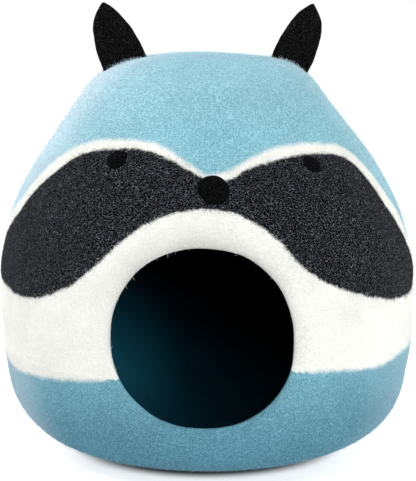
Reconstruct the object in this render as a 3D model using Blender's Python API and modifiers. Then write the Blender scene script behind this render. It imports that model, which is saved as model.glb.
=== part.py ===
# A wet-felted wool cat cave: one seamless hollow body with a floor, a domed crown and a round
# door, two cupped ears on the crown, and a nose and two eyes sewn to the front.
# Metres, +Z up. The origin is on the floor under the middle of the body, and the door faces -Y.

import math

import bmesh
import bpy
import numpy as np
from mathutils import Vector

WALL = 0.008  # thickness of the felt
GAP = 0.0003  # between a sewn-on piece and the wall
ROUNDING = 0.003  # felted on the door's edge

# The body's section from the floor up to the crown. Reach is its half width at a height, and
# drift is how far its middle has slipped sideways there, towards +X.
BODY_SECTIONS = (
    # height, reach, drift
    (0.0000, 0.0900, 0.0010),
    (0.0000, 0.1100, 0.0010),
    (0.0040, 0.1360, 0.0010),
    (0.0100, 0.1630, 0.0010),
    (0.0200, 0.1885, 0.0010),
    (0.0400, 0.2155, 0.0010),
    (0.0700, 0.2340, 0.0010),
    (0.1100, 0.2430, 0.0010),
    (0.1600, 0.2485, 0.0010),
    (0.1950, 0.2500, 0.0005),
    (0.2300, 0.2475, 0.0000),
    (0.2650, 0.2400, -0.0005),
    (0.3000, 0.2285, -0.0010),
    (0.3400, 0.2080, -0.0020),
    (0.3800, 0.1815, -0.0030),
    (0.4200, 0.1520, -0.0040),
    (0.4450, 0.1310, -0.0050),
    (0.4600, 0.1100, -0.0055),
    (0.4700, 0.0850, -0.0055),
    (0.4760, 0.0450, -0.0060),
    (0.4775, 0.0000, -0.0060),
)
MIDDLE = Vector((0, 0, 0.200))  # the point inside the body that its surface is measured from

# Places where the hand-felted wall swells out or sinks in. Bearing is counted from the door
# round towards +X.
LUMPS = (
    # bearing in degrees, height, spread, rise
    (-90, 0.075, 0.050, 0.0010),
    (-80, 0.022, 0.045, -0.0020),
    (-90, 0.305, 0.045, 0.0012),
    (-90, 0.380, 0.050, -0.0012),
    (-100, 0.445, 0.040, 0.0015),
    (90, 0.085, 0.045, -0.0020),
    (90, 0.360, 0.040, 0.0012),
    (95, 0.412, 0.040, -0.0022),
    (100, 0.458, 0.035, 0.0032),
    (150, 0.260, 0.090, 0.0030),
    (-140, 0.150, 0.080, -0.0025),
    (-170, 0.350, 0.080, 0.0025),
)

DOOR_ACROSS = 0.2025
DOOR_X = -0.0047
DOOR_HEIGHT = 0.1773  # of its middle
DOOR_OVAL = 0.0013  # how much further its hand-cut edge reaches at top left and bottom right
DOOR_OVAL_TURN = math.radians(45)
WIDEST_DOOR_TURN = 1.2  # radians from the door's middle, beyond its edge on every side

SHELL_SPINS = 56  # facets round the door
SHELL_BANDS = 33  # from the door's edge to the back

# An ear's outline. Along is measured up the ear from the crown, and bow is how far the middle
# of the ear has moved outwards.
EAR_SECTIONS = (
    # along, half width of the left ear, half width of the right ear, bow
    (-0.0120, 0.0264, 0.0224, 0.0000),
    (0.0000, 0.0269, 0.0230, 0.0004),
    (0.0120, 0.0264, 0.0238, 0.0013),
    (0.0250, 0.0252, 0.0230, 0.0020),
    (0.0380, 0.0228, 0.0214, 0.0027),
    (0.0500, 0.0191, 0.0184, 0.0030),
    (0.0600, 0.0142, 0.0144, 0.0028),
    (0.0690, 0.0084, 0.0088, 0.0020),
    (0.0755, 0.0026, 0.0030, 0.0008),
)
EARS = (
    # name, side, foot's X, foot's Y, foot's height, lean outwards in degrees
    ("ear_left", -1, -0.0977, 0.0080, 0.4669, 19.7),
    ("ear_right", 1, 0.0993, 0.0080, 0.4655, 20.9),
)
EAR_FELT = 0.006
EAR_CUP = 0.009  # how far the sides of an ear curl forward at its foot
EAR_COLUMNS = 6
EAR_ROWS = 8

# The face: low domes of felt, placed on the front wall.
BUTTONS = (
    # name, X, height, across, tall, dome
    ("nose", 0.0068, 0.3370, 0.0345, 0.0340, 0.0050),
    ("eye_left", -0.0995, 0.3674, 0.0260, 0.0225, 0.0030),
    ("eye_right", 0.1170, 0.3612, 0.0235, 0.0225, 0.0030),
)
BUTTON_SINK = 0.0010  # a dome's rim lies this far inside the wall's tangent plane
BUTTON_SPINS = 24
BUTTON_BANDS = 12

BLUE_WOOL = (0.330, 0.610, 0.694)
BLACK_WOOL = (0.006, 0.006, 0.007)
FELT_ROUGHNESS = 0.95


def smooth_curve(places, values):
    """A function giving the value anywhere on a smooth curve through the given points."""
    slopes = np.gradient(values, places)

    def value(at):
        left = int(np.clip(np.searchsorted(places, at) - 1, 0, len(places) - 2))
        span = places[left + 1] - places[left]
        t = (at - places[left]) / span
        ends = (1 - 3 * t**2 + 2 * t**3) * values[left] + (3 * t**2 - 2 * t**3) * values[left + 1]
        bends = (t - 2 * t**2 + t**3) * slopes[left] + (t**3 - t**2) * slopes[left + 1]
        return float(ends + bends * span)

    return value


# The body's surface is measured outwards from its middle. Tilt is the angle above the level
# there, and the last row is the mirror image of the one before the top, so that the curves
# run level over the crown.
heights, reaches, drifts = np.array(BODY_SECTIONS).T
rises = heights - MIDDLE.z
tilts = np.arctan2(rises, reaches)
tilts = np.append(tilts, math.pi - tilts[-2])
distances = np.hypot(rises, reaches)
distance_at = smooth_curve(tilts, np.append(distances, distances[-2]))
drift_at = smooth_curve(tilts, np.append(drifts, drifts[-2]))


def lump_place(bearing, height):
    turn = math.radians(bearing)
    reach = float(np.interp(height, heights, reaches))
    return Vector((reach * math.sin(turn), -reach * math.cos(turn), height))


lumps = [(lump_place(bearing, height), spread, rise) for bearing, height, spread, rise in LUMPS]


def body_point(direction):
    """Point of the body's outer surface in a direction from its middle."""
    tilt = math.asin(max(-1.0, min(1.0, direction.z)))
    if tilt < tilts[1]:
        distance = MIDDLE.z / -direction.z  # the flat base
    else:
        distance = distance_at(tilt)
    point = MIDDLE + direction * distance + Vector((drift_at(max(tilt, tilts[0])), 0, 0))
    if tilt < tilts[1]:
        return point
    for place, spread, rise in lumps:
        point += direction * rise * math.exp(-(((point - place).length / spread) ** 2))
    point.z = max(point.z, 0)
    return point


def front_wall(x, height):
    """Point of the front wall's outer surface at this X and height."""
    outside, inside = -0.3, 0.0
    for _ in range(30):
        reach = Vector((x, (outside + inside) / 2, height)) - MIDDLE
        surface = body_point(reach.normalized()) - MIDDLE
        if reach.length < surface.length:
            inside = reach.y
        else:
            outside = reach.y
    return Vector((x, outside, height))


def front_wall_normal(x, height):
    """Outward normal of the front wall there, over a few millimetres."""
    step = 0.004
    across = front_wall(x + step, height) - front_wall(x - step, height)
    upwards = front_wall(x, height + step) - front_wall(x, height - step)
    return across.cross(upwards).normalized()


door_forward = (front_wall(DOOR_X, DOOR_HEIGHT) - MIDDLE).normalized()
door_right = Vector((0, 0, 1)).cross(door_forward).normalized()
door_up = door_forward.cross(door_right)


def turned_direction(turn, spin):
    """Direction turned away from the door's middle, towards a side counted from the top."""
    side = door_up * math.cos(spin) + door_right * math.sin(spin)
    return door_forward * math.cos(turn) + side * math.sin(turn)


def beyond_door_edge(point):
    """How far a point of the wall lies outside the door's edge, seen from the front."""
    x, z = point.x - DOOR_X, point.z - DOOR_HEIGHT
    oval = DOOR_OVAL * math.cos(2 * (math.atan2(x, z) + DOOR_OVAL_TURN))
    return math.hypot(x, z) - DOOR_ACROSS / 2 - oval


def door_edge_turn(spin):
    """The turn at which the door's edge lies on this side."""
    inside, outside = 0.0, WIDEST_DOOR_TURN
    for _ in range(30):
        turn = (inside + outside) / 2
        if beyond_door_edge(body_point(turned_direction(turn, spin))) < 0:
            inside = turn
        else:
            outside = turn
    return outside


def body_surface():
    """The outer surface, open at the door: a sphere opened at its front pole and laid on the body."""
    bm = bmesh.new()
    bands = SHELL_BANDS + 1
    bmesh.ops.create_uvsphere(bm, u_segments=SHELL_SPINS, v_segments=bands, radius=1)
    front_pole = max(bm.verts, key=lambda vert: vert.co.z)
    bmesh.ops.delete(bm, geom=[front_pole], context="VERTS")
    first_turn = math.pi / bands
    edge_turns = [door_edge_turn(math.tau * i / SHELL_SPINS) for i in range(SHELL_SPINS)]
    for vert in bm.verts:
        spin_index = round(math.atan2(vert.co.x, vert.co.y) / math.tau * SHELL_SPINS) % SHELL_SPINS
        edge_turn = edge_turns[spin_index]
        sphere_turn = math.acos(max(-1.0, min(1.0, vert.co.z)))
        share = (sphere_turn - first_turn) / (math.pi - first_turn)
        turn = edge_turn + (math.pi - edge_turn) * share
        vert.co = body_point(turned_direction(turn, math.tau * spin_index / SHELL_SPINS))
    bmesh.ops.recalc_face_normals(bm, faces=bm.faces)
    return bm


def make_material(name, colour):
    material = bpy.data.materials.new(name)
    material.use_nodes = True
    shader = material.node_tree.nodes["Principled BSDF"]
    shader.inputs["Base Color"].default_value = (*colour, 1)
    shader.inputs["Roughness"].default_value = FELT_ROUGHNESS
    shader.inputs["Metallic"].default_value = 0
    return material


def add_object(bm, name, collection, material=None):
    mesh = bpy.data.meshes.new(name)
    bm.to_mesh(mesh)
    bm.free()
    mesh.shade_smooth()
    if material:
        mesh.materials.append(material)
    obj = bpy.data.objects.new(name, mesh)
    collection.objects.link(obj)
    return obj


def cut_to_wall(obj, seat):
    """Cuts away what lies inside the body, so that the piece sits on the wall."""
    cut = obj.modifiers.new("Seat", "BOOLEAN")
    cut.operation = "DIFFERENCE"
    cut.object = seat


def add_shell(collection, material):
    obj = add_object(body_surface(), "shell", collection, material)
    wall = obj.modifiers.new("Wall", "SOLIDIFY")
    wall.thickness = WALL
    wall.offset = -1
    wall.use_even_offset = True
    edge = obj.modifiers.new("Felted edge", "BEVEL")
    edge.width = ROUNDING
    edge.segments = 2
    edge.limit_method = "ANGLE"
    edge.angle_limit = math.radians(60)
    return obj


def add_seat(collection):
    """The whole body as one closed cutter, a gap larger than the wall."""
    bm = body_surface()
    bmesh.ops.holes_fill(bm, edges=[edge for edge in bm.edges if edge.is_boundary])
    bm.normal_update()
    moves = [(vert, vert.normal * GAP) for vert in bm.verts]
    for vert, move in moves:
        vert.co += move
    seat = add_object(bm, "seat", collection)
    seat.hide_render = True
    seat.display_type = "WIRE"
    return seat


def add_ear(name, side, foot, lean, half_widths, collection, material, seat):
    along, _, _, bows = np.array(EAR_SECTIONS).T
    half_width_at = smooth_curve(along, half_widths)
    bow_at = smooth_curve(along, bows)
    bm = bmesh.new()
    bmesh.ops.create_grid(bm, x_segments=EAR_COLUMNS, y_segments=EAR_ROWS, size=1)
    for vert in bm.verts:
        across = vert.co.x
        up = float(np.interp(vert.co.y, (-1, 1), (along[0], along[-1])))
        curl = EAR_CUP * (1 - max(up, 0) / along[-1])
        x = side * bow_at(up) + across * half_width_at(up)
        vert.co = Vector((x, -curl * across**2, up))
    obj = add_object(bm, name, collection, material)
    obj.location = foot
    obj.rotation_euler = (0, side * lean, 0)
    felt = obj.modifiers.new("Felt", "SOLIDIFY")
    felt.thickness = EAR_FELT
    felt.offset = 0
    soft = obj.modifiers.new("Soft edges", "SUBSURF")
    soft.levels = 1
    soft.render_levels = 1
    cut_to_wall(obj, seat)


def add_button(name, x, height, across, tall, dome, collection, material, seat):
    normal = front_wall_normal(x, height)
    bm = bmesh.new()
    bmesh.ops.create_uvsphere(bm, u_segments=BUTTON_SPINS, v_segments=BUTTON_BANDS, radius=1)
    bmesh.ops.scale(bm, vec=(across / 2, tall / 2, dome + BUTTON_SINK), verts=bm.verts)
    obj = add_object(bm, name, collection, material)
    obj.location = front_wall(x, height) - normal * BUTTON_SINK
    obj.rotation_euler = normal.to_track_quat("Z", "Y").to_euler()
    cut_to_wall(obj, seat)


def main():
    for obj in list(bpy.data.objects):
        bpy.data.objects.remove(obj, do_unlink=True)
    scene = bpy.context.scene
    cave = bpy.data.collections.new("felt_cat_cave")
    cutters = bpy.data.collections.new("cutters")
    scene.collection.children.link(cave)
    scene.collection.children.link(cutters)
    blue_wool = make_material("blue_wool_felt", BLUE_WOOL)
    black_wool = make_material("black_wool_felt", BLACK_WOOL)

    add_shell(cave, blue_wool)
    seat = add_seat(cutters)
    _, left_halves, right_halves, _ = np.array(EAR_SECTIONS).T
    for name, side, x, y, height, lean in EARS:
        halves = left_halves if side < 0 else right_halves
        add_ear(name, side, (x, y, height), math.radians(lean), halves, cave, black_wool, seat)
    for name, x, height, across, tall, dome in BUTTONS:
        add_button(name, x, height, across, tall, dome, cave, black_wool, seat)


main()
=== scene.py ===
# Looks for a wet-felted wool cat cave: the seamless body with its felted-in face, two ears,
# a nose and two eyes. Metres, +Z up, and the door faces -Y.

import math

import bmesh
import bpy
import numpy as np
from mathutils import Matrix, Vector, kdtree, noise


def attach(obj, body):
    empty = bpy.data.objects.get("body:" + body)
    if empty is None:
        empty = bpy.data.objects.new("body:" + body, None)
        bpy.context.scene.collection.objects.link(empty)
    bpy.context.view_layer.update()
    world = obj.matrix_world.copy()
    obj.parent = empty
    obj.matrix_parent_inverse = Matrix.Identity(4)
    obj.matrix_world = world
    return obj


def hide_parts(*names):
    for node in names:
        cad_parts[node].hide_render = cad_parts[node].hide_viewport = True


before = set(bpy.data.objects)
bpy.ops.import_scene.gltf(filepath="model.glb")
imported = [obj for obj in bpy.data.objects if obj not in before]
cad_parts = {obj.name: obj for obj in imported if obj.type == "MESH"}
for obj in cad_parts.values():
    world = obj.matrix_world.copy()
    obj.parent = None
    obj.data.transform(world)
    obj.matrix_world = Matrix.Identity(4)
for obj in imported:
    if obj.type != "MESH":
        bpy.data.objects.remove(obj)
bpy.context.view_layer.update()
scene = bpy.context.scene
print("Frame loaded:", ", ".join(sorted(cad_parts)))


# Camera, at eye height for someone sitting a couple of metres away

camera = {
    "place": (0.0, -2.1758, 0.5752),
    "lookAt": (0.0012, 0.0, 0.2514),
    "lens": 136.0,
    "sensor": 36.0,
    "farthest": 200.0,
}


def addCamera(settings):
    lens = bpy.data.cameras.new("camera")
    lens.lens = settings["lens"]
    lens.sensor_width = settings["sensor"]
    lens.clip_end = settings["farthest"]
    eye = bpy.data.objects.new("camera", lens)
    eye.location = settings["place"]
    gaze = Vector(settings["lookAt"]) - Vector(settings["place"])
    eye.rotation_euler = gaze.to_track_quat("-Z", "Y").to_euler()
    scene.collection.objects.link(eye)
    scene.camera = eye


addCamera(camera)


# General tools

def linearColour(hexColour):
    # sRGB hex to the linear colour that the shaders work in
    channels = [int(hexColour[i:i + 2], 16) / 255 for i in (1, 3, 5)]
    linear = [c / 12.92 if c <= 0.04045 else ((c + 0.055) / 1.055) ** 2.4 for c in channels]
    return (*linear, 1.0)


def addNode(tree, kind, inputs=None, **settings):
    # One node: settings are its own options, and inputs are values or sockets to link from
    node = tree.nodes.new(kind)
    for name, value in settings.items():
        setattr(node, name, value)
    for socket, value in (inputs or {}).items():
        if isinstance(value, bpy.types.NodeSocket):
            tree.links.new(value, node.inputs[socket])
        else:
            node.inputs[socket].default_value = value
    return node


def addPiece(bm, name, material):
    mesh = bpy.data.meshes.new(name)
    bm.to_mesh(mesh)
    bm.free()
    mesh.shade_smooth()
    mesh.materials.append(material)
    piece = bpy.data.objects.new(name, mesh)
    scene.collection.objects.link(piece)
    return piece


def applyModifiers(piece):
    # The modifiers' result becomes the mesh
    graph = bpy.context.evaluated_depsgraph_get()
    graph.update()
    finished = bpy.data.meshes.new_from_object(piece.evaluated_get(graph))
    piece.modifiers.clear()
    piece.data = finished
    finished.name = piece.name


def meshPoints(mesh):
    points = np.empty(len(mesh.vertices) * 3, np.float32)
    mesh.vertices.foreach_get("co", points)
    return points.reshape(-1, 3).astype(float)


def setPoints(mesh, points):
    mesh.vertices.foreach_set("co", points.astype(np.float32).ravel())
    mesh.update()


def fixOrder(mesh):
    # A sphere's faces and their corners come in another order each run, and scattered fibres
    # follow that order, so it is made the same
    faces = [tuple(face.vertices) for face in mesh.polygons]
    starts = [face.index(min(face)) for face in faces]
    turned = [face[start:] + face[:start] for face, start in zip(faces, starts)]
    points = meshPoints(mesh)
    mesh.clear_geometry()
    mesh.from_pydata(points.tolist(), [], sorted(turned), shade_flat=False)
    mesh.update()


def pointOutwards(mesh):
    bm = bmesh.new()
    bm.from_mesh(mesh)
    bmesh.ops.recalc_face_normals(bm, faces=bm.faces)
    bm.to_mesh(mesh)
    bm.free()


def addAttribute(mesh, name, values):
    attribute = mesh.attributes.new(name, "FLOAT", "POINT")
    attribute.data.foreach_set("value", np.asarray(values, np.float32))


def smoothCurve(places, values):
    # A function giving the value anywhere on a smooth curve through the given points
    places, values = np.asarray(places, float), np.asarray(values, float)
    slopes = np.gradient(values, places)

    def valueAt(at):
        left = np.clip(np.searchsorted(places, at) - 1, 0, len(places) - 2)
        span = places[left + 1] - places[left]
        t = (at - places[left]) / span
        ends = (1 - 3 * t**2 + 2 * t**3) * values[left] + (3 * t**2 - 2 * t**3) * values[left + 1]
        bends = (t - 2 * t**2 + t**3) * slopes[left] + (t**3 - t**2) * slopes[left + 1]
        return ends + bends * span

    return valueAt


# The body's form, with the same sections and lumps as its solid

body = {
    "middle": (0, 0, 0.200),
    "wall": 0.008,
    # Height, reach to the side, and how far the middle has slipped towards +X
    "sections": (
        (0.0000, 0.0900, 0.0010),
        (0.0000, 0.1100, 0.0010),
        (0.0040, 0.1360, 0.0010),
        (0.0100, 0.1630, 0.0010),
        (0.0200, 0.1885, 0.0010),
        (0.0400, 0.2155, 0.0010),
        (0.0700, 0.2340, 0.0010),
        (0.1100, 0.2430, 0.0010),
        (0.1600, 0.2485, 0.0010),
        (0.1950, 0.2500, 0.0005),
        (0.2300, 0.2475, 0.0000),
        (0.2650, 0.2400, -0.0005),
        (0.3000, 0.2285, -0.0010),
        (0.3400, 0.2080, -0.0020),
        (0.3800, 0.1815, -0.0030),
        (0.4200, 0.1520, -0.0040),
        (0.4450, 0.1310, -0.0050),
        (0.4600, 0.1100, -0.0055),
        (0.4700, 0.0850, -0.0055),
        (0.4760, 0.0450, -0.0060),
        (0.4775, 0.0000, -0.0060),
    ),
    # Bearing in degrees from the door round towards +X, height, spread, rise
    "lumps": (
        (-90, 0.075, 0.050, 0.0010),
        (-80, 0.022, 0.045, -0.0020),
        (-90, 0.305, 0.045, 0.0012),
        (-90, 0.380, 0.050, -0.0012),
        (-100, 0.445, 0.040, 0.0015),
        (90, 0.085, 0.045, -0.0020),
        (90, 0.360, 0.040, 0.0012),
        (95, 0.412, 0.040, -0.0022),
        (100, 0.458, 0.035, 0.0032),
        (150, 0.260, 0.090, 0.0030),
        (-140, 0.150, 0.080, -0.0025),
        (-170, 0.350, 0.080, 0.0025),
    ),
}

middle = np.array(body["middle"])
heights, reaches, drifts = np.array(body["sections"]).T
rises = heights - middle[2]
tilts = np.arctan2(rises, reaches)
tilts = np.append(tilts, math.pi - tilts[-2])
distances = np.hypot(rises, reaches)
distanceAt = smoothCurve(tilts, np.append(distances, distances[-2]))
driftAt = smoothCurve(tilts, np.append(drifts, drifts[-2]))


def lumpPlace(bearing, height):
    turn = math.radians(bearing)
    reach = float(np.interp(height, heights, reaches))
    return np.array((reach * math.sin(turn), -reach * math.cos(turn), height))


def bodyPoints(directions):
    # Points of the outer surface in these directions from the body's middle
    directions = np.atleast_2d(directions)
    tilt = np.arcsin(np.clip(directions[:, 2], -1, 1))
    onBase = tilt < tilts[1]
    toBase = middle[2] / np.maximum(-directions[:, 2], 1e-6)
    distance = np.where(onBase, toBase, distanceAt(tilt))
    points = middle + directions * distance[:, None]
    points[:, 0] += driftAt(np.maximum(tilt, tilts[0]))
    for bearing, height, spread, rise in body["lumps"]:
        away = np.linalg.norm(points - lumpPlace(bearing, height), axis=1)
        swell = np.where(onBase, 0, rise * np.exp(-((away / spread) ** 2)))
        points += directions * swell[:, None]
    points[:, 2] = np.maximum(points[:, 2], 0)
    return points


def wallDepths(points):
    # How far points lie below the outer surface, towards the middle
    reach = np.asarray(points, float) - middle
    length = np.linalg.norm(reach, axis=1)
    surface = bodyPoints(reach / length[:, None]) - middle
    return np.linalg.norm(surface, axis=1) - length


def frontWall(x, height):
    # The front wall's outer surface at this X and height
    outside, inside = -0.3, 0.0  # halved down to the wall
    for _ in range(30):
        y = (outside + inside) / 2
        if wallDepths([(x, y, height)])[0] > 0:
            inside = y
        else:
            outside = y
    return Vector((x, outside, height))


def frontWallNormal(x, height):
    step = 0.004
    across = frontWall(x + step, height) - frontWall(x - step, height)
    upwards = frontWall(x, height + step) - frontWall(x, height - step)
    return across.cross(upwards).normalized()


# The felted-in face: a charcoal mask of two lobes joined over a round arch, a white band
# round it, and a white muzzle. Bearings in degrees and heights in millimetres.

pattern = {
    "maskTop": (
        (-91, 230), (-84, 257), (-76, 282), (-71, 297), (-66, 319), (-58, 346), (-50, 366),
        (-40, 376), (-33, 378), (-26, 379), (-20, 377), (-14, 371), (-9, 364), (-4, 355),
        (0, 349), (4, 346), (7, 348), (10, 353), (14, 360), (20, 365), (27, 369), (34, 371),
        (42, 371), (50, 369), (57, 360), (63, 336), (67, 305), (73, 276), (78, 252), (82, 234),
    ),
    "maskFoot": (
        (75, 206), (63, 202), (55, 205), (48, 212), (41, 220), (35, 230), (29, 243), (25, 257),
        (20, 281), (14, 301), (7, 314), (1, 318), (-6, 316), (-12, 310), (-18, 299), (-24, 280),
        (-30, 256), (-36, 234), (-42, 221), (-50, 210), (-60, 206), (-68, 210), (-78, 216),
        (-86, 225),
    ),
    "bandWidth": (
        # Bearing, millimetres of white above the mask
        (-100, 22), (-70, 20), (-60, 19), (-50, 14), (-38, 12), (-26, 11), (-14, 10), (-9, 7),
        (-4, 6), (0, 4), (3, 10), (5, 11), (7, 10), (10, 9), (14, 10), (20, 13), (27, 15),
        (34, 14), (42, 14), (50, 13), (57, 16), (63, 18), (73, 23), (100, 22),
    ),
    "muzzle": (
        (-100, 190), (-94, 158), (-86, 134), (-76, 121), (-66, 115), (-52, 117), (-38, 122),
        (-25, 128), (0, 136), (25, 138), (37, 134), (54, 129), (65, 135), (78, 139), (88, 152),
        (96, 175), (98, 200), (92, 225), (75, 235), (40, 300), (0, 335), (-40, 320), (-75, 250),
        (-92, 238), (-99, 215),
    ),
    # Bearing, share of nearly white in the blue of the crown and of the belly: partly paler wool
    #  carded in, partly a painted highlight where the light grazes the sides, most on the left
    "paleCrown": (
        (-180, 0.05), (-155, 0.10), (-132, 0.30), (-110, 0.53), (-85, 0.60), (-75, 0.52),
        (-62, 0.34), (-52, 0.17), (-30, 0.05), (0, 0.01), (50, 0.03), (60, 0.04), (70, 0.14),
        (85, 0.19), (110, 0.19), (140, 0.08), (180, 0.05),
    ),
    "paleBelly": (
        (-180, 0.05), (-145, 0.12), (-110, 0.30), (-70, 0.36), (-62, 0.26), (-56, 0.13),
        (-50, 0.03), (-44, 0.0), (46, 0.0), (58, 0.10), (72, 0.19), (95, 0.19), (140, 0.08),
        (180, 0.05),
    ),
    "bellyToCrown": (0.12, 0.24),  # heights between which one gives way to the other
    "paleTop": (0.40, 0.46, 0.08),  # more of it towards the top: heights and share
    "paleMiddle": (0.105, 0.010, 0.19),  # and evenly so in the middle of it: reaches and share
    "merge": 0.012,  # rounding where the band runs into the muzzle
    "outlineStep": 0.002,
}


def closedOutline(corners, step):
    # A smooth closed line through the corners, as bearings, heights and points on the body
    corners = np.array(corners, float)
    looped = np.vstack([corners[-3:], corners, corners[:3]])
    points = ringPoints(looped)
    spans = np.linalg.norm(np.diff(points, axis=0), axis=1)
    along = np.concatenate([[0], np.cumsum(spans)])
    count = int((along[-4] - along[3] + spans[2]) / step)
    at = np.linspace(along[2], along[-4], count, endpoint=False)
    bearings = smoothCurve(along, looped[:, 0])(at)
    outlineHeights = smoothCurve(along, looped[:, 1])(at)
    ring = np.stack([bearings, outlineHeights], 1)
    return ring, ringPoints(ring)


def ringPoints(ring):
    # The outline's bearings and heights as points on the outer surface
    turn, z = np.radians(ring[:, 0]), ring[:, 1] / 1000
    inside, outside = np.full(len(z), 0.02), np.full(len(z), 0.3)  # halved down to the surface
    for _ in range(24):
        reach = (inside + outside) / 2
        tried = np.stack([reach * np.sin(turn), -reach * np.cos(turn), z], 1)
        within = wallDepths(tried) > 0
        inside = np.where(within, reach, inside)
        outside = np.where(within, outside, reach)
    return tried


def outlineDistance(points, ring, line):
    # Distance of points from a closed outline, negative inside it
    tree = kdtree.KDTree(len(line))
    for i, place in enumerate(line):
        tree.insert(place, i)
    tree.balance()
    nearest = np.array([tree.find(point)[1] for point in points])
    best = np.full(len(points), 9.0)
    for other in (nearest - 1, (nearest + 1) % len(line)):
        start, span = line[nearest], line[other] - line[nearest]
        share = np.sum((points - start) * span, 1) / np.sum(span**2, 1)
        foot = start + span * np.clip(share, 0, 1)[:, None]
        best = np.minimum(best, np.linalg.norm(points - foot, axis=1))
    bearing = np.degrees(np.arctan2(points[:, 0], -points[:, 1]))
    height = points[:, 2] * 1000
    crossings = np.zeros(len(points), int)
    for (b0, h0), (b1, h1) in zip(ring, np.roll(ring, -1, 0)):
        spans = (h0 > height) != (h1 > height)
        at = b0 + (height - h0) / (h1 - h0 if h1 != h0 else 1e-9) * (b1 - b0)
        crossings += spans & (bearing < at)
    return np.where(crossings % 2 == 1, -best, best)


def smoothMin(a, b, blend):
    share = np.clip(0.5 + 0.5 * (b - a) / blend, 0, 1)
    return b + (a - b) * share - blend * share * (1 - share)


def smoothStep(share):
    share = np.clip(share, 0, 1)
    return share**2 * (3 - 2 * share)


def addPattern(mesh, settings):
    # Distances that the shell's material turns into the mask, the band and the muzzle, and
    # the share of pale wool and painted side highlight
    points = meshPoints(mesh)
    step = settings["outlineStep"]
    mask = [*settings["maskTop"], *settings["maskFoot"]]
    maskEdge = outlineDistance(points, *closedOutline(mask, step))
    muzzleEdge = outlineDistance(points, *closedOutline(settings["muzzle"], step))
    bandBearings, bandWidths = np.array(settings["bandWidth"], float).T
    bearing = np.degrees(np.arctan2(points[:, 0], -points[:, 1]))
    width = np.interp(bearing, bandBearings, bandWidths) / 1000
    whiteEdge = smoothMin(maskEdge - width, muzzleEdge, settings["merge"])
    addAttribute(mesh, "maskEdge", maskEdge)
    addAttribute(mesh, "whiteEdge", whiteEdge)
    crown, belly = [np.interp(bearing, *np.array(settings[name], float).T)
                    for name in ("paleCrown", "paleBelly")]
    low, high, share = settings["paleTop"]
    crown += share * np.clip((points[:, 2] - low) / (high - low), 0, 1)
    outer, inner, share = settings["paleMiddle"]
    reach = np.hypot(points[:, 0], points[:, 1])
    crown += (share - crown) * smoothStep((outer - reach) / (outer - inner))
    low, high = settings["bellyToCrown"]
    upward = smoothStep((points[:, 2] - low) / (high - low))
    addAttribute(mesh, "paleWoolAndSideHighlight", belly + (crown - belly) * upward)


# Wool finishes. Wet felting mats carded wool into short curly strands, which the eye sees as
# a fine woolly grain, matte, with pale edges where the loose fibres catch the light.

wools = {
    # Gap is the wool between the strands, and strand the tops of them, which "thin" thins out
    "paleBlue": {"gap": "#679CAD", "body": "#81B6C4", "strand": "#97CCD8"},
    # deeper blue wool for the underside, which also carries part of its shade as painted shade
    "deepBlueAndShade": {"gap": "#37677B", "body": "#4B8094", "strand": "#629AAF"},
    "white": {"gap": "#E0E0DB", "body": "#E5E6E0", "strand": "#E9EAE4"},
    # bluish white for the pale share: paler wool, and painted highlight on the sides
    "whiteWoolAndHighlight": {"gap": "#DBE3EC", "body": "#E2EBF3", "strand": "#E7F0F9"},
    "charcoal": {"gap": "#000001", "body": "#090A0D", "strand": "#797D87", "thin": 0.135},
    "teal": {"gap": "#359DBB", "body": "#3AA9C9", "strand": "#3FB7DA"},
    # not a wool: near black painted shade that darkens the inside towards the upper right
    "insidePaintedShade": {"gap": "#010507", "body": "#02080B", "strand": "#030A0E"},
    "black": {"gap": "#020202", "body": "#090909", "strand": "#272727"},
    "jet": {"gap": "#000000", "body": "#010101", "strand": "#1B1C1F"},
}

grain = {
    # Real fibres are 0.03 mm thick and lie in curls of 2 to 3 mm; only the curls show
    "strand": 0.0030,
    "fineStrand": 0.0021,
    "curl": 1.1,
    "scatter": 0.8,  # of the gaps between them; 0 would be an even grid
    "strandWidth": 0.22,
    "flatten": 1.05,
    "lowFlatten": 0.70,  # strands lie more along the wall below the muzzle
    "lowBelow": 0.13,
    "pebble": 0.0100,
    "cloud": 0.060,
    "fineShare": 0.30,  # what the finer strands give of the grain's depth
    "pebbleShare": 0.04,
    "stops": (0.15, 0.55, 0.95),  # depths where the gap, body and strand colours lie
    "clouds": (0.93, 1.05),  # lightness from cloud to cloud
    "bump": 0.0007,
    "edgeWave": 0.0011,
    "edgeWaveSize": 0.012,
    "edgeFibreSize": 0.0021,
}

finish = {
    # Matte, with the faint bloom that its fibres give a felt
    "roughness": 0.95,
    "specular": 0.04,
    "sheen": 0.02,
    "sheenRoughness": 0.35,
}

face = {
    # the blue deepens from this height down: partly deeper wool, partly painted shade on the
    # underside
    "deepAndShadedBelow": 0.21,  # the blue deepens from this height down
    # Half the width over which a felted-in colour sets in, and the reach of its hairs
    "whiteEdge": (0.0042, 0.0007),
    "maskEdge": (0.0020, 0.0011),
    # Inside, from this depth in the wall, teal wool runs into near black painted shade along this
    # direction
    "insideFrom": (0.0055, 0.0070),
    "insideShadeTowards": (0.55, 0.0, 0.90),
    "insideShadeFrom": (-0.05, 0.13),
}


def strandPattern(tree, place, size, settings):
    # Curly strands: the bent edges of closely packed cells
    curls = addNode(tree, "ShaderNodeTexNoise", {
        "Vector": place, "Scale": 1 / size, "Detail": 0.0}).outputs["Color"]
    bent = addNode(tree, "ShaderNodeVectorMath", {
        0: curls, 1: (settings["curl"] * size,) * 3, 2: place},
        operation="MULTIPLY_ADD").outputs["Vector"]
    cells = addNode(tree, "ShaderNodeTexVoronoi", {
        "Vector": bent, "Scale": 1 / size, "Randomness": settings["scatter"]},
        feature="DISTANCE_TO_EDGE").outputs["Distance"]
    line = addNode(tree, "ShaderNodeMapRange", {
        "Value": cells, "From Min": 0.0, "From Max": settings["strandWidth"],
        "To Min": 1.0, "To Max": 0.0})
    return line.outputs["Result"]


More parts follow.
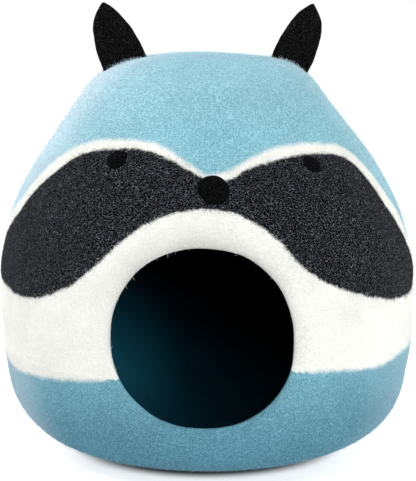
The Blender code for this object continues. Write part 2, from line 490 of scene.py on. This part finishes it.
def woolColour(tree, wool, cloud, level, settings):
    # A wool's colour from the depth of the grain, lightened and darkened a little in clouds
    gapStop, bodyStop, strandStop = settings["stops"]
    darkest, lightest = settings["clouds"]
    ramp = addNode(tree, "ShaderNodeValToRGB", {"Fac": level})
    stops = ramp.color_ramp.elements
    stops[0].position, stops[0].color = gapStop, linearColour(wool["gap"])
    stops[1].position, stops[1].color = strandStop, linearColour(wool["strand"])
    between = stops.new(bodyStop + wool.get("thin", 0))
    between.color = linearColour(wool["body"])
    tint = addNode(tree, "ShaderNodeMapRange", {
        "Value": cloud, "From Min": 0.3, "From Max": 0.7, "To Min": darkest, "To Max": lightest})
    tinted = addNode(tree, "ShaderNodeVectorMath", {
        0: ramp.outputs["Color"], "Scale": tint.outputs["Result"]}, operation="SCALE")
    return tinted.outputs["Vector"]


def edgeShare(tree, place, name, settings):
    # 1 inside a felted-in colour and 0 outside, with a wandering and hairy edge
    soft, hairs = face[name]
    distance = addNode(tree, "ShaderNodeAttribute", attribute_name=name)
    moved = distance.outputs["Fac"]
    for size, reach, seed in ((settings["edgeWaveSize"], settings["edgeWave"], 3.1),
                              (settings["edgeFibreSize"], hairs, 7.7)):
        shifted = addNode(tree, "ShaderNodeVectorMath", {0: place, 1: (seed, seed, seed)},
                          operation="ADD")
        wander = addNode(tree, "ShaderNodeTexNoise", {
            "Vector": shifted.outputs["Vector"], "Scale": 1 / size, "Detail": 1.0})
        push = addNode(tree, "ShaderNodeMapRange", {
            "Value": wander.outputs["Fac"], "From Min": 0.25, "From Max": 0.75,
            "To Min": -reach, "To Max": reach}, clamp=False)
        total = addNode(tree, "ShaderNodeMath", {0: moved, 1: push.outputs["Result"]},
                        operation="ADD")
        moved = total.outputs[0]
    share = addNode(tree, "ShaderNodeMapRange", {
        "Value": moved, "From Min": -soft, "From Max": soft,
        "To Min": 1.0, "To Max": 0.0}, interpolation_type="SMOOTHSTEP")
    return share.outputs["Result"]


def woolGrain(tree, place, settings):
    # The grain's depth, from the gaps between the strands to the tops of them
    parts = addNode(tree, "ShaderNodeSeparateXYZ", {"Vector": place}).outputs
    lower = addNode(tree, "ShaderNodeMath", {0: parts["Z"], 1: settings["lowBelow"]},
                    operation="MINIMUM").outputs[0]
    upper = addNode(tree, "ShaderNodeMath", {0: parts["Z"], 1: settings["flatten"]},
                    operation="MULTIPLY").outputs[0]
    height = addNode(tree, "ShaderNodeMath", {0: lower, 1: settings["lowFlatten"], 2: upper},
                     operation="MULTIPLY_ADD").outputs[0]
    lying = addNode(tree, "ShaderNodeCombineXYZ", {
        "X": parts["X"], "Y": parts["Y"], "Z": height}).outputs["Vector"]
    coarse = strandPattern(tree, lying, settings["strand"], settings)
    fine = strandPattern(tree, lying, settings["fineStrand"], settings)
    pebble = addNode(tree, "ShaderNodeTexNoise", {
        "Vector": place, "Scale": 1 / settings["pebble"], "Detail": 2.0}).outputs["Fac"]
    small = addNode(tree, "ShaderNodeMath", {0: fine, 1: settings["fineShare"]},
                    operation="MULTIPLY").outputs[0]
    strands = addNode(tree, "ShaderNodeMath", {
        0: coarse, 1: 1 - settings["fineShare"], 2: small}, operation="MULTIPLY_ADD").outputs[0]
    swell = addNode(tree, "ShaderNodeMath", {0: pebble, 1: 0.5}, operation="SUBTRACT").outputs[0]
    level = addNode(tree, "ShaderNodeMath", {
        0: swell, 1: settings["pebbleShare"], 2: strands}, operation="MULTIPLY_ADD")
    return level.outputs[0]


def faceColour(tree, place, cloud, level, colour, settings):
    # The wools felted into the pale blue, with painted shade on the rim and inside, each lying
    # over the ones before it by its share
    white, whiteWoolAndHighlight, charcoal, teal, deepBlueAndShade, insidePaintedShade = [
        woolColour(tree, wools[wool], cloud, level, settings)
        for wool in ("white", "whiteWoolAndHighlight", "charcoal", "teal", "deepBlueAndShade", "insidePaintedShade")]
    depth, pale, shade = [
        addNode(tree, "ShaderNodeAttribute", attribute_name=name).outputs["Fac"]
        for name in ("wallDepth", "paleWoolAndSideHighlight", "rimShade")]
    height = addNode(tree, "ShaderNodeSeparateXYZ", {"Vector": place}).outputs["Z"]
    low = addNode(tree, "ShaderNodeMapRange", {
        "Value": height, "From Min": 0.0, "From Max": face["deepAndShadedBelow"],
        "To Min": 1.0, "To Max": 0.0}, interpolation_type="SMOOTHSTEP").outputs["Result"]
    # painted shade inside: the teal darkens to near black towards the upper right
    along = addNode(tree, "ShaderNodeVectorMath", {0: place, 1: face["insideShadeTowards"]},
                    operation="DOT_PRODUCT").outputs["Value"]
    dark = addNode(tree, "ShaderNodeMapRange", {
        "Value": along, "From Min": face["insideShadeFrom"][0], "From Max": face["insideShadeFrom"][1],
        "To Min": 0.0, "To Max": 1.0}, interpolation_type="SMOOTHSTEP").outputs["Result"]
    inside = addNode(tree, "ShaderNodeMix", {
        "Factor": dark, "A": teal, "B": insidePaintedShade}, data_type="RGBA").outputs["Result"]
    inner = addNode(tree, "ShaderNodeMapRange", {
        "Value": depth, "From Min": face["insideFrom"][0], "From Max": face["insideFrom"][1],
        "To Min": 0.0, "To Max": 1.0}).outputs["Result"]
    # deeper blue below, partly painted shade
    layers = ((deepBlueAndShade, low),
              # pale wool, with painted highlight where the light grazes the sides
              (whiteWoolAndHighlight, pale),
              (white, edgeShare(tree, place, "whiteEdge", settings)),
              (charcoal, edgeShare(tree, place, "maskEdge", settings)),
              # painted shade on the door's rim, deepest above the door
              (linearColour("#000000"), shade),
              (inside, inner))
    for layer, share in layers:
        colour = addNode(tree, "ShaderNodeMix", {
            "Factor": share, "A": colour, "B": layer}, data_type="RGBA").outputs["Result"]
    return colour


def feltMaterial(name, wool, sheen, settings, withFace=False):
    material = bpy.data.materials.new(name)
    material.use_nodes = True
    tree = material.node_tree
    shader = tree.nodes["Principled BSDF"]
    place = addNode(tree, "ShaderNodeTexCoord").outputs["Object"]
    level = woolGrain(tree, place, settings)
    cloud = addNode(tree, "ShaderNodeTexNoise", {
        "Vector": place, "Scale": 1 / settings["cloud"], "Detail": 2.0}).outputs["Fac"]
    colour = woolColour(tree, wools[wool], cloud, level, settings)
    if withFace:
        colour = faceColour(tree, place, cloud, level, colour, settings)
    bump = addNode(tree, "ShaderNodeBump", {
        "Height": level, "Distance": settings["bump"], "Strength": 1.0})
    tree.links.new(colour, shader.inputs["Base Color"])
    tree.links.new(bump.outputs["Normal"], shader.inputs["Normal"])
    shader.inputs["Roughness"].default_value = finish["roughness"]
    shader.inputs["Specular IOR Level"].default_value = finish["specular"]
    shader.inputs["Sheen Weight"].default_value = sheen
    shader.inputs["Sheen Roughness"].default_value = finish["sheenRoughness"]
    return material


bodyFelt = feltMaterial("wetFeltedWoolWithFace", "paleBlue", finish["sheen"], grain,
                        withFace=True)
blackFelt = feltMaterial("wetFeltedBlackWool", "black", finish["sheen"], grain)
jetFelt = feltMaterial("needleFeltedBlackWool", "jet", 0.0, grain)
print("Felts mixed")


# The shell: floor, wall and crown in one, with the door cut in its front

shell = {
    "doorX": -0.0047,
    "doorHeight": 0.1773,
    # How far its rolled edge reaches from there, every 30 degrees clockwise from the top
    "doorReach": (0.1008, 0.1028, 0.1031, 0.1035, 0.1099, 0.1103, 0.1076, 0.1095, 0.1097, 0.1059,
                  0.1052, 0.1038),
    "spins": 256,  # facets round the door
    "bands": 140,  # from the door's edge to the back
    "frontReach": 0.24,  # from the body's middle to the door: turns angles into lengths
    "edgeWobble": (0.0006, 4),  # how deep it is, and how finely it comes and goes
    "lipInward": 0.0108,  # how far the door's edge rolls in
    "lipReach": 0.027,
    "rounding": 0.0035,
    # Depth of shade on the rim and how far it reaches, above the door and beside it: the wool
    # there is turned under and lies in its own shade
    "rimShade": ((0.42, 0.0105), (0.30, 0.0045)),
    # Cosines of the angle from the top between which each of the two sets in
    "shadeSides": ((0.35, 0.80), (-0.45, -0.10)),
    "unevenness": ((0.055, 0.0007), (0.018, 0.0003)),  # size and depth of hand-rubbed dents
    "evenBelow": 0.030,  # from this height down they fade out towards the flat base
    # Where the stitches of the ears pull the crown in or bunch it up: place, spread and rise
    "puckers": (((-0.0977, -0.0040, 0.4660), 0.022, -0.0010),
                ((0.0993, 0.0000, 0.4650), 0.022, 0.0007)),
    "flat": (1.40, 0.70),  # two discs of batting, 0.70 m across, felted together
}

doorForward = (frontWall(shell["doorX"], shell["doorHeight"]) - Vector(middle)).normalized()
doorRight = Vector((0, 0, 1)).cross(doorForward).normalized()
doorUp = doorForward.cross(doorRight)


def turnedDirections(turns, spins):
    # Directions turned away from the door's middle, towards a side counted from the top
    side = np.cos(spins)[:, None] * np.array(doorUp) + np.sin(spins)[:, None] * np.array(doorRight)
    return np.cos(turns)[:, None] * np.array(doorForward) + np.sin(turns)[:, None] * side


def doorEdgeTurns(spins, settings):
    # The turn at which the door's edge lies on each side
    places = np.arange(-2, 15) * math.pi / 6
    reachAt = smoothCurve(places, np.array(settings["doorReach"])[np.arange(-2, 15) % 12])
    inside, outside = np.zeros(len(spins)), np.full(len(spins), 1.2)  # halved down to the edge
    for _ in range(30):
        turns = (inside + outside) / 2
        points = bodyPoints(turnedDirections(turns, spins))
        x, z = points[:, 0] - settings["doorX"], points[:, 2] - settings["doorHeight"]
        within = np.hypot(x, z) < reachAt(np.arctan2(x, z) % math.tau)
        inside = np.where(within, turns, inside)
        outside = np.where(within, outside, turns)
    return outside


def lipRoll(turns, edge, settings):
    # How far the door's edge has rolled inwards
    share = 1 - (turns - edge) * settings["frontReach"] / settings["lipReach"]
    return settings["lipInward"] * np.clip(share, 0, 1)**2


def addWallDepth(mesh, edges, settings):
    # How deep each point lies in the felt, below the rolled outer surface, and the shade painted
    # on its rim
    points = meshPoints(mesh)
    aim = points - middle
    aim /= np.linalg.norm(aim, axis=1)[:, None]
    turns = np.arccos(np.clip(aim @ np.array(doorForward), -1, 1))
    spins = np.arctan2(aim @ np.array(doorRight), aim @ np.array(doorUp)) % math.tau
    around = np.arange(len(edges) + 1) * math.tau / len(edges)
    edge = np.interp(spins, around, np.append(edges, edges[0]))
    addAttribute(mesh, "wallDepth", wallDepths(points) - lipRoll(turns, edge, settings))
    (deep, far), (slight, near) = settings["rimShade"]
    gap = np.maximum(turns - edge, 0) * settings["frontReach"]
    above, beside = [np.clip((np.cos(spins) - low) / (high - low), 0, 1)
                     for low, high in settings["shadeSides"]]
    beside *= 1 - above
    shade = above * deep * np.exp(-gap / far) + beside * slight * np.exp(-gap / near)
    addAttribute(mesh, "rimShade", shade)


def makeShell(settings, wall, material):
    bm = bmesh.new()
    rings = settings["bands"] + 1
    bmesh.ops.create_uvsphere(bm, u_segments=settings["spins"], v_segments=rings, radius=1)
    bmesh.ops.delete(bm, geom=[max(bm.verts, key=lambda vert: vert.co.z)], context="VERTS")
    piece = addPiece(bm, "feltShell", material)
    sphere = meshPoints(piece.data)
    count = settings["spins"]
    spinIndex = np.round(np.arctan2(sphere[:, 0], sphere[:, 1]) / math.tau * count).astype(int)
    spins = (spinIndex % count) * math.tau / count
    allSpins = np.arange(count) * math.tau / count
    edges = doorEdgeTurns(allSpins, settings)
    depth, fineness = settings["edgeWobble"]
    ring = [Vector((math.sin(spin), math.cos(spin), 0)) * fineness for spin in allSpins]
    wobble = np.array([noise.noise(place + Vector((0, 0, 1.7))) for place in ring])
    edges += wobble * depth / settings["frontReach"]
    edge = edges[spinIndex % count]
    first = math.pi / rings
    share = (np.arccos(np.clip(sphere[:, 2], -1, 1)) - first) / (math.pi - first)
    turns = edge + (math.pi - edge) * share
    directions = turnedDirections(turns, spins)
    points = bodyPoints(directions)
    move = np.zeros(len(points))
    for size, depth in settings["unevenness"]:
        move += depth * np.array([noise.noise(Vector(point) / size) for point in points])
    move *= np.clip(points[:, 2] / settings["evenBelow"], 0, 1)
    for place, spread, rise in settings["puckers"]:
        away = np.linalg.norm(points - np.array(place), axis=1)
        move += rise * np.exp(-((away / spread) ** 2))
    move -= lipRoll(turns, edge, settings)
    points += directions * move[:, None]
    points[:, 2] = np.maximum(points[:, 2], 0)
    setPoints(piece.data, points)
    pointOutwards(piece.data)
    fixOrder(piece.data)
    # The outer face alone is kept for the loose fibres to grow on
    outerFace = piece.data.copy()
    addPattern(outerFace, pattern)
    addAttribute(outerFace, "doorGap", (turns - edge) * settings["frontReach"])
    felt = piece.modifiers.new("Wall", "SOLIDIFY")
    felt.thickness = wall
    felt.offset = -1
    felt.use_even_offset = True
    rounded = piece.modifiers.new("Felted edge", "BEVEL")
    rounded.width = settings["rounding"]
    rounded.segments = 4
    rounded.limit_method = "ANGLE"
    rounded.angle_limit = math.radians(60)
    applyModifiers(piece)
    piece.data.shade_smooth()
    addPattern(piece.data, pattern)
    addWallDepth(piece.data, edges, settings)
    return piece, outerFace


feltShell, outerFace = makeShell(shell, body["wall"], bodyFelt)
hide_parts("shell")
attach(feltShell, "root")
print("Shell laid out:", len(feltShell.data.polygons), "faces")


# The ears: cupped leaves of black felt, sewn down at the crown

ears = {
    # How far up the ear, half width of the left ear, of the right ear, and bow outwards
    "sections": (
        (-0.0120, 0.0264, 0.0224, 0.0000),
        (0.0000, 0.0269, 0.0230, 0.0004),
        (0.0120, 0.0264, 0.0238, 0.0013),
        (0.0250, 0.0252, 0.0230, 0.0020),
        (0.0380, 0.0228, 0.0214, 0.0027),
        (0.0500, 0.0191, 0.0184, 0.0030),
        (0.0600, 0.0142, 0.0144, 0.0028),
        (0.0690, 0.0074, 0.0076, 0.0020),
        (0.0752, 0.0006, 0.0006, 0.0008),
    ),
    "felt": 0.006,
    "cup": 0.009,
    "footDepth": 0.006,  # how far the foot is let into the wall
    "footSearch": 0.03,  # it is looked for this far down and up
    "columns": 14,
    "rows": 20,
    "roughness": ((0.016, 0.0007), (0.006, 0.0003)),
    "pairs": (
        # Name, node, side, foot, lean outwards in degrees
        ("feltEarLeft", "ear_left", -1, (-0.0977, 0.0000, 0.4669), 19.7),
        ("feltEarRight", "ear_right", 1, (0.0993, 0.0140, 0.4655), 20.9),
    ),
}


def makeEar(name, side, foot, lean, settings, material):
    along, leftHalves, rightHalves, bows = np.array(settings["sections"]).T
    halfWidthAt = smoothCurve(along, leftHalves if side < 0 else rightHalves)
    bowAt = smoothCurve(along, bows)
    lie = Matrix.Translation(foot) @ Matrix.Rotation(side * math.radians(lean), 4, "Y")

    def earPoint(across, up):
        curl = settings["cup"] * (1 - max(up, 0) / along[-1])
        flat = Vector((side * bowAt(up) + across * halfWidthAt(up), -curl * across**2, up))
        return lie @ flat

    def stripPoint(across, up):
        # Below its lowest section the ear runs straight on
        clipped = max(up, along[0])
        return earPoint(across, clipped) + lie.to_3x3() @ Vector((0, 0, up - clipped))

    def footAt(across):
        # Where this strip of the ear reaches its depth in the wall
        low, high = along[0] - settings["footSearch"], settings["footSearch"]
        for _ in range(24):
            up = (low + high) / 2
            if wallDepths([stripPoint(across, up)])[0] > settings["footDepth"]:
                low = up
            else:
                high = up
        return up

    bm = bmesh.new()
    bmesh.ops.create_grid(
        bm, x_segments=settings["columns"], y_segments=settings["rows"], size=1)
    feet = {}
    for vert in bm.verts:
        across = vert.co.x
        key = round(across, 4)
        if key not in feet:
            feet[key] = footAt(across)
        up = feet[key] + (along[-1] - feet[key]) * (vert.co.y + 1) / 2
        vert.co = stripPoint(across, up)
    piece = addPiece(bm, name, material)
    felt = piece.modifiers.new("Felt", "SOLIDIFY")
    felt.thickness = settings["felt"]
    felt.offset = 0
    soft = piece.modifiers.new("Soft edges", "SUBSURF")
    soft.levels = 2
    soft.render_levels = 2
    applyModifiers(piece)
    roughen(piece.data, settings["roughness"])
    piece.data.shade_smooth()
    return piece


def roughen(mesh, steps):
    # Small dents and swellings along the normals, as hand rubbing leaves them
    points = meshPoints(mesh)
    normals = np.empty(len(points) * 3, np.float32)
    mesh.vertices.foreach_get("normal", normals)
    move = np.zeros(len(points))
    for size, depth in steps:
        move += depth * np.array([noise.noise(Vector(point) / size) for point in points])
    setPoints(mesh, points + normals.reshape(-1, 3) * move[:, None])


for name, node, side, foot, lean in ears["pairs"]:
    ear = makeEar(name, side, foot, lean, ears, blackFelt)
    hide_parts(node)
    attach(ear, "root")
print("Ears sewn on")


# Nose and eyes: low domes of black felt with uneven outlines

buttons = {
    # Name, node, X, height, dome, then the reach every 45 degrees clockwise from the top
    "places": (
        ("feltNose", "nose", 0.0054, 0.3376, 0.0050,
         (0.0188, 0.0196, 0.0202, 0.0204, 0.0174, 0.0146, 0.0166, 0.0178)),
        ("feltEyeLeft", "eye_left", -0.1008, 0.3664, 0.0030,
         (0.0132, 0.0148, 0.0138, 0.0128, 0.0124, 0.0124, 0.0136, 0.0130)),
        ("feltEyeRight", "eye_right", 0.1180, 0.3607, 0.0030,
         (0.0103, 0.0103, 0.0115, 0.0118, 0.0108, 0.0112, 0.0121, 0.0130)),
    ),
    "sink": 0.0015,
    "domePowers": (3, 0.6),  # the fullness of the dome's top and of its shoulder
    "spins": 48,
    "bands": 24,
    "roughness": ((0.009, 0.0004), (0.004, 0.0002)),
}


def makeButton(name, x, height, dome, reach, settings, material):
    foot = np.array(frontWall(x, height))
    normal = frontWallNormal(x, height)
    right = Vector((0, 0, 1)).cross(normal).normalized()
    up = np.array(normal.cross(right))
    right, normal = np.array(right), np.array(normal)
    bm = bmesh.new()
    bmesh.ops.create_uvsphere(
        bm, u_segments=settings["spins"], v_segments=settings["bands"], radius=1)
    piece = addPiece(bm, name, material)
    sphere = meshPoints(piece.data)
    angle = np.arctan2(sphere[:, 0], sphere[:, 1])
    ringPlaces = np.arange(-2, 11) * math.pi / 4
    outlineAt = smoothCurve(ringPlaces, np.array(reach)[np.arange(-2, 11) % 8])
    radius = np.hypot(sphere[:, 0], sphere[:, 1])
    outer = outlineAt(angle % math.tau)
    spot = foot + (sphere[:, 0] * outer)[:, None] * right + (sphere[:, 1] * outer)[:, None] * up
    top, shoulder = settings["domePowers"]
    domed = dome * (1 - np.minimum(radius, 1) ** top) ** shoulder
    rise = np.where(sphere[:, 2] > 0, domed, 0)
    rise = rise - settings["sink"] * np.where(sphere[:, 2] > 0, radius**4, 1)
    for _ in range(4):
        spot = spot + normal * (rise + wallDepths(spot))[:, None]
    setPoints(piece.data, spot)
    pointOutwards(piece.data)
    roughen(piece.data, settings["roughness"])
    piece.data.shade_smooth()
    return piece


for name, node, x, height, dome, reach in buttons["places"]:
    button = makeButton(name, x, height, dome, reach, buttons, jetFelt)
    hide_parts(node)
    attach(button, "root")
print("Nose and eyes sewn on")


# Fuzz: short loose fibres that stand off the felt, each a thin cone

fuzz = {
    # Name, colour, fibres for each square metre, and lean in degrees off the wall's normal
    "coats": (
        ("fuzzMask", "#2A2C31", 180000, (45, 86)),
        ("fuzzWhite", "#F0F0EC", 90000, (45, 86)),
        ("fuzzCrown", "#BBDAE3", 130000, (45, 86)),
        # the belly's fibres are darker with the blue below them, partly painted shade
        ("fuzzBelly", "#8FB9C7", 110000, (45, 86)),
        # near white fibres round the ears' feet: a real tuft, coloured as a painted highlight for
        # the light line it catches
        ("fuzzEarFeet", "#D8E8ED", 800000, (10, 70)),
    ),
    "crownAbove": 0.20,
    "length": 0.0042,
    "thickness": 0.00012,  # real fibres are 0.03 mm, drawn coarser so that they show
    "sizes": (0.5, 1.4),
    "rootDepth": 0.0002,
    "fromDoor": 0.0035,  # bare where the door's edge is rounded
    "bareBelow": 0.006,  # and where the base meets what it stands on
    "underButton": 0.99,
    "earFootHalf": 0.024,
    "tuftReach": 0.010,  # where fibres are pushed up round the ears' feet
    "tuftLength": 1.3,
    "seamReach": 0.006,  # where mask and white run into each other
    "seamDensity": 1.2,
    "roughness": 0.9,
    "specular": 0.1,
}


def fibreMaterial(name, colour, settings):
    material = bpy.data.materials.new(name)
    material.use_nodes = True
    shader = material.node_tree.nodes["Principled BSDF"]
    shader.inputs["Base Color"].default_value = linearColour(colour)
    shader.inputs["Roughness"].default_value = settings["roughness"]
    shader.inputs["Specular IOR Level"].default_value = settings["specular"]
    return material


def fuzzShares(mesh, settings):
    # How thickly each coat grows at each point of the shell, and how long its fibres are
    points = meshPoints(mesh)
    values = {}
    for name in ("maskEdge", "whiteEdge", "doorGap"):
        values[name] = np.empty(len(points), np.float32)
        mesh.attributes[name].data.foreach_get("value", values[name])
    bare = values["doorGap"] < settings["fromDoor"]
    bare |= points[:, 2] < settings["bareBelow"]
    footDistance = np.full(len(points), 9.0)
    for name, node, side, foot, lean in ears["pairs"]:
        turn = math.radians(lean) * side
        across = Vector((math.cos(turn), 0, -math.sin(turn)))
        away = points - np.array(foot)
        half = settings["earFootHalf"]
        along = np.clip(away @ np.array(across), -half, half)
        off = np.linalg.norm(away - along[:, None] * np.array(across), axis=1)
        footDistance = np.minimum(footDistance, off)
    for name, node, x, height, dome, reach in buttons["places"]:
        away = np.linalg.norm(points - np.array(frontWall(x, height)), axis=1)
        bare |= away < np.mean(reach) * settings["underButton"]
    tuft = np.clip(1 - footDistance / settings["tuftReach"], 0, 1)
    seam = np.clip(1 - np.abs(values["maskEdge"]) / settings["seamReach"], 0, 1)
    grown = 1 + settings["seamDensity"] * seam
    grown[bare] = 0
    masked = values["maskEdge"] < 0
    white = ~masked & (values["whiteEdge"] < 0)
    crown = ~masked & ~white & (points[:, 2] > settings["crownAbove"])
    belly = ~masked & ~white & ~crown
    shares = [np.where(coat, grown, 0) for coat in (masked, white, crown, belly)]
    shares.append(np.where(bare, 0, tuft))
    return shares, 1 + (settings["tuftLength"] - 1) * tuft


def fibreTree(settings, density, lean, material, seed):
    tree = bpy.data.node_groups.new("fibres", "GeometryNodeTree")
    tree.interface.new_socket("Geometry", in_out="INPUT", socket_type="NodeSocketGeometry")
    tree.interface.new_socket("Geometry", in_out="OUTPUT", socket_type="NodeSocketGeometry")
    felt = addNode(tree, "NodeGroupInput").outputs["Geometry"]
    share = addNode(tree, "GeometryNodeInputNamedAttribute", {"Name": "fuzzShare"},
                    data_type="FLOAT").outputs["Attribute"]
    grow = addNode(tree, "ShaderNodeMath", {0: share, 1: density}, operation="MULTIPLY").outputs[0]
    roots = addNode(tree, "GeometryNodeDistributePointsOnFaces", {
        "Mesh": felt, "Density": grow, "Seed": seed})
    turn = addNode(tree, "FunctionNodeRandomValue", {
        "Min": (math.radians(lean[0]), 0, 0),
        "Max": (math.radians(lean[1]), 0, math.tau), "Seed": seed + 1},
        data_type="FLOAT_VECTOR").outputs["Value"]
    tilt = addNode(tree, "FunctionNodeEulerToRotation", {"Euler": turn}).outputs["Rotation"]
    lie = addNode(tree, "FunctionNodeRotateRotation", {
        "Rotation": roots.outputs["Rotation"], "Rotate By": tilt}, rotation_space="LOCAL")
    fibre = addNode(tree, "GeometryNodeMeshCone", {
        "Vertices": 3, "Radius Top": 0.0, "Radius Bottom": settings["thickness"],
        "Depth": settings["length"]}, fill_type="NGON").outputs["Mesh"]
    length = addNode(tree, "GeometryNodeInputNamedAttribute", {"Name": "fuzzLength"},
                     data_type="FLOAT").outputs["Attribute"]
    size = addNode(tree, "FunctionNodeRandomValue", {
        2: settings["sizes"][0], 3: settings["sizes"][1], "Seed": seed + 2},
        data_type="FLOAT").outputs[1]
    scaled = addNode(tree, "ShaderNodeMath", {0: length, 1: size}, operation="MULTIPLY")
    fibres = addNode(tree, "GeometryNodeInstanceOnPoints", {
        "Points": roots.outputs["Points"], "Instance": fibre,
        "Rotation": lie.outputs["Rotation"], "Scale": scaled.outputs[0]}).outputs["Instances"]
    sunk = addNode(tree, "GeometryNodeTranslateInstances", {
        "Instances": fibres, "Translation": (0, 0, -settings["rootDepth"])}).outputs["Instances"]
    real = addNode(tree, "GeometryNodeRealizeInstances", {"Geometry": sunk}).outputs["Geometry"]
    made = addNode(tree, "GeometryNodeSetMaterial", {"Geometry": real, "Material": material})
    addNode(tree, "NodeGroupOutput", {"Geometry": made.outputs["Geometry"]})
    return tree


def growFuzz(name, felt, share, length, tree):
    ground = felt.copy()
    addAttribute(ground, "fuzzShare", share)
    addAttribute(ground, "fuzzLength", length)
    piece = bpy.data.objects.new(name, ground)
    scene.collection.objects.link(piece)
    growth = piece.modifiers.new("Fibres", "NODES")
    growth.node_group = tree
    applyModifiers(piece)
    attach(piece, "root")
    return piece


fuzzPieces = []
coatShares, fibreLengths = fuzzShares(outerFace, fuzz)
for (name, colour, density, lean), share in zip(fuzz["coats"], coatShares):
    fibres = fibreMaterial(name.replace("fuzz", "looseWoolFibres"), colour, fuzz)
    seed = 10 * len(fuzzPieces)
    tree = fibreTree(fuzz, density, lean, fibres, seed)
    fuzzPieces.append(growFuzz(name, outerFace, share, fibreLengths, tree))
print("Fuzz raised:", [len(piece.data.polygons) for piece in fuzzPieces])


# Studio: a white floor, an even white surround and soft boxes

studio = {
    "floorReach": 60.0,
    # the darker colour under the piece is a painted contact shadow
    "floorColours": ("#8A8F94", "#C4C4C4"),  # under the piece and round it
    # The floor glows a little near and far, so that it stays white, and not under the piece, which
    # leaves a painted contact shadow there
    "floorGlow": (0.71, 0.82),
    "glowReach": (0.134, 0.170, 0.50),  # of under, near and far
    "surround": 0.40,
    # Place, what it is aimed at, width, height and power of each soft box
    "softBoxes": (
        ((-0.45, -1.2, 2.6), (0.0, 0.0, 0.25), 1.6, 1.6, 14.3),
        ((2.0, -1.9, 0.8), (0.0, 0.0, 0.20), 1.2, 1.0, 9.2),
        ((1.3, -2.8, 0.9), (0.0, 0.0, 0.20), 1.0, 0.8, 8.7),
        ((-1.85, 0.3, 2.0), (0.0, 0.0, 0.25), 1.0, 1.6, 20.0),
        ((2.2, 1.4, 1.2), (0.0, 0.0, 0.25), 0.8, 1.6, 11.6),
    ),
    "spread": 120,
}


def addStudio(settings):
    floor = bpy.data.materials.new("matteWhiteFloor")
    floor.use_nodes = True
    tree = floor.node_tree
    paint = tree.nodes["Principled BSDF"]
    paint.inputs["Roughness"].default_value = 1.0
    paint.inputs["Specular IOR Level"].default_value = 0.0
    paint.inputs["Emission Color"].default_value = (1, 1, 1, 1)
    under, near, far = settings["glowReach"]
    place = addNode(tree, "ShaderNodeTexCoord").outputs["Object"]
    away = addNode(tree, "ShaderNodeVectorMath", {0: place}, operation="LENGTH").outputs["Value"]
    cleared = addNode(tree, "ShaderNodeMapRange", {
        "Value": away, "From Min": under, "From Max": near, "To Min": 0.0, "To Max": 1.0},
        interpolation_type="SMOOTHSTEP").outputs["Result"]
    outward = addNode(tree, "ShaderNodeMapRange", {
        "Value": away, "From Min": near, "From Max": far, "To Min": settings["floorGlow"][0],
        "To Max": settings["floorGlow"][1]}).outputs["Result"]
    glow = addNode(tree, "ShaderNodeMath", {0: cleared, 1: outward}, operation="MULTIPLY")
    # darker under the piece: painted contact shadow
    shaded, clear = [linearColour(colour) for colour in settings["floorColours"]]
    colour = addNode(tree, "ShaderNodeMix", {"Factor": cleared, "A": shaded, "B": clear},
                     data_type="RGBA")
    tree.links.new(glow.outputs[0], paint.inputs["Emission Strength"])
    tree.links.new(colour.outputs["Result"], paint.inputs["Base Color"])
    bm = bmesh.new()
    bmesh.ops.create_grid(bm, x_segments=8, y_segments=8, size=settings["floorReach"])
    addPiece(bm, "floor", floor)
    world = bpy.data.worlds.new("surround")
    world.use_nodes = True
    sky = world.node_tree.nodes["Background"]
    sky.inputs["Color"].default_value = (1, 1, 1, 1)
    sky.inputs["Strength"].default_value = settings["surround"]
    scene.world = world
    for i, (place, target, width, height, power) in enumerate(settings["softBoxes"]):
        lamp = bpy.data.lights.new("softBox%d" % i, "AREA")
        lamp.shape = "RECTANGLE"
        lamp.size, lamp.size_y = width, height
        lamp.spread = math.radians(settings["spread"])
        lamp.energy = power
        box = bpy.data.objects.new(lamp.name, lamp)
        box.location = place
        aim = Vector(target) - Vector(place)
        box.rotation_euler = aim.to_track_quat("-Z", "Y").to_euler()
        scene.collection.objects.link(box)
    scene.view_settings.view_transform = "Standard"


addStudio(studio)
print("Studio lit")
